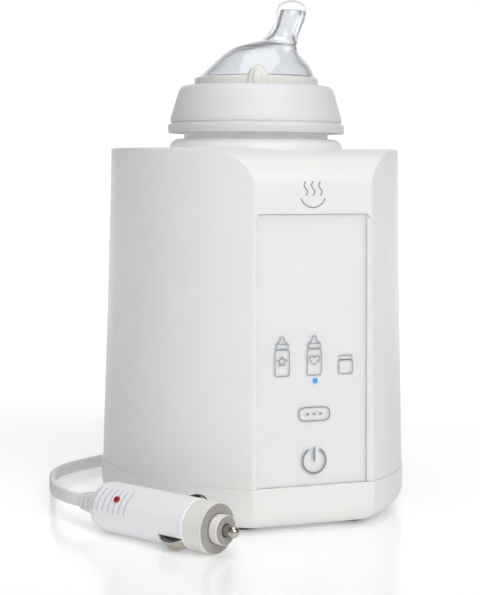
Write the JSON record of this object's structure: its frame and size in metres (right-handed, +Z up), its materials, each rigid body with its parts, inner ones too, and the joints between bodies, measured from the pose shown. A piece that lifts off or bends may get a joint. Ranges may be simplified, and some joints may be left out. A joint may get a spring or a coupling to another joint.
{
  "type": "bottle warmer",
  "caption": "Upright white baby bottle warmer with a touch window, a feeding bottle in its heated chamber and a flat lead to a car plug.",
  "frame": {"origin": "centre of the footprint of the warmer, on the surface it stands on", "axes": "+Z up, -Y out of the flat front with the touch window, +X to the right when looking along +Y at that front"},
  "size_m": [0.1894, 0.2476, 0.2194],
  "materials": {
    "shell_white": "satin white moulded ABS, very fine texture",
    "base_white": "satin white moulded ABS",
    "collar_white": "matt white PP",
    "foot_rubber": "matt grey elastomer",
    "seal_silicone": "matt translucent silicone",
    "cup_metal": "spun aluminium, fine turning lines",
    "heater_foil": "orange silicone heating mat",
    "steel": "zinc-plated steel",
    "insulation": "needled fibre felt",
    "chassis_white": "glass-filled nylon, matt",
    "board_green": "green solder mask",
    "chip_black": "black epoxy",
    "copper_parts": "enamelled copper and tin cans",
    "wire_red": "red PVC wire",
    "ribbon_grey": "grey flat cable",
    "window_clear": "clear acrylic, polished",
    "backing_white": "white diffusing sheet",
    "lamp_blue": "clear lamp body, blue light",
    "bottle_clear": "milky clear polypropylene",
    "ring_white": "milky white polypropylene",
    "teat_silicone": "clear silicone, soft gloss",
    "grip_white": "cool white moulded plastic",
    "nose_cream": "warm white moulded plastic",
    "nickel": "nickel plate, worn bright",
    "lamp_red": "red lamp lens",
    "fuse_glass": "glass tube with metal caps",
    "cord_white": "matt white flexible PVC",
    "tie_grey": "hook-and-loop band"
  },
  "bodies": {
    "warmer": {"outer_shell": "shell_white", "base_pan": "base_white", "rubber_feet": "foot_rubber", "base_screws": "steel", "top_collar": "collar_white", "heating_cup": "cup_metal", "collar_seal": "seal_silicone", "heater_band": "heater_foil", "band_clamp": "steel", "clamp_screw": "steel", "insulation_sleeve": "insulation", "cup_chassis": "chassis_white", "sensor_bracket": "steel", "cup_sensor": "copper_parts", "sensor_spring": "steel", "thermal_fuse": "steel", "window_backing": "backing_white", "touch_window": "window_clear", "control_board": "board_green", "board_screws": "steel", "touch_springs": "steel", "mode_lamps": "lamp_blue", "lamp_shroud": "chip_black", "board_chips": "chip_black", "power_board": "board_green", "board_standoffs": "chassis_white", "standoff_screws": "steel", "power_parts": "copper_parts", "buzzer": "chip_black", "dc_jack": "chip_black", "jack_leads": "wire_red", "heater_leads": "wire_red", "ribbon_cable": "ribbon_grey", "grip_upper": "grip_white", "grip_lower": "grip_white", "plug_lamp": "lamp_red", "plug_nose": "nose_cream", "tip_spring": "steel", "fuse_cradle": "chassis_white", "plug_relief": "cord_white", "dc_connector": "grip_white", "connector_relief": "cord_white", "cord_to_inlet": "cord_white", "cord_to_plug": "cord_white", "cord_coil": "cord_white", "coil_tie": "tie_grey"},
    "bottle": {"bottle_body": "bottle_clear"},
    "teat": {"teat": "teat_silicone"},
    "ring": {"screw_ring": "ring_white"},
    "plug_tip": {"plug_tip": "nickel", "plug_fuse": "fuse_glass"},
    "plug_cap": {"nose_cap": "nose_cream"},
    "near_contact": {"near_contact": "nickel"},
    "far_contact": {"far_contact": "nickel"}
  },
  "joints": [
    {"name": "bottle_lift", "type": "slide", "parent": "warmer", "child": "bottle", "axis": [0, 0, 1], "range_m": [0, 0.15]},
    {"name": "ring_rise", "type": "slide", "parent": "bottle", "child": "teat", "axis": [0, 0, 1], "range_m": [0, 0.0046]},
    {"name": "ring_turn", "type": "hinge", "parent": "teat", "child": "ring", "pos_m": [0, -0.0015, 0.17], "axis": [0, 0, 1], "range_deg": [0, 360]},
    {"name": "tip_press", "type": "slide", "parent": "warmer", "child": "plug_tip", "axis": [-0.4648, 0.8854, 0], "range_m": [0, 0.0024], "stiffness_N_per_m": 400, "springref_m": -0.002},
    {"name": "near_contact_press", "type": "slide", "parent": "warmer", "child": "near_contact", "axis": [0.6782, 0.3561, 0.6428], "range_m": [0, 0.0012], "stiffness_N_per_m": 600, "springref_m": -0.0005},
    {"name": "far_contact_press", "type": "slide", "parent": "warmer", "child": "far_contact", "axis": [-0.6782, -0.3561, -0.6428], "range_m": [0, 0.0012], "stiffness_N_per_m": 600, "springref_m": -0.0005},
    {"name": "cap_turn", "type": "hinge", "parent": "warmer", "child": "plug_cap", "pos_m": [-0.0501, -0.0912, 0.01015], "axis": [0.4648, -0.8854, 0], "range_deg": [0, 90]}
  ],
  "couplings": [
    {"joint": "ring_rise", "follows": "ring_turn", "m_per_rad": 0.0007162}
  ]
}
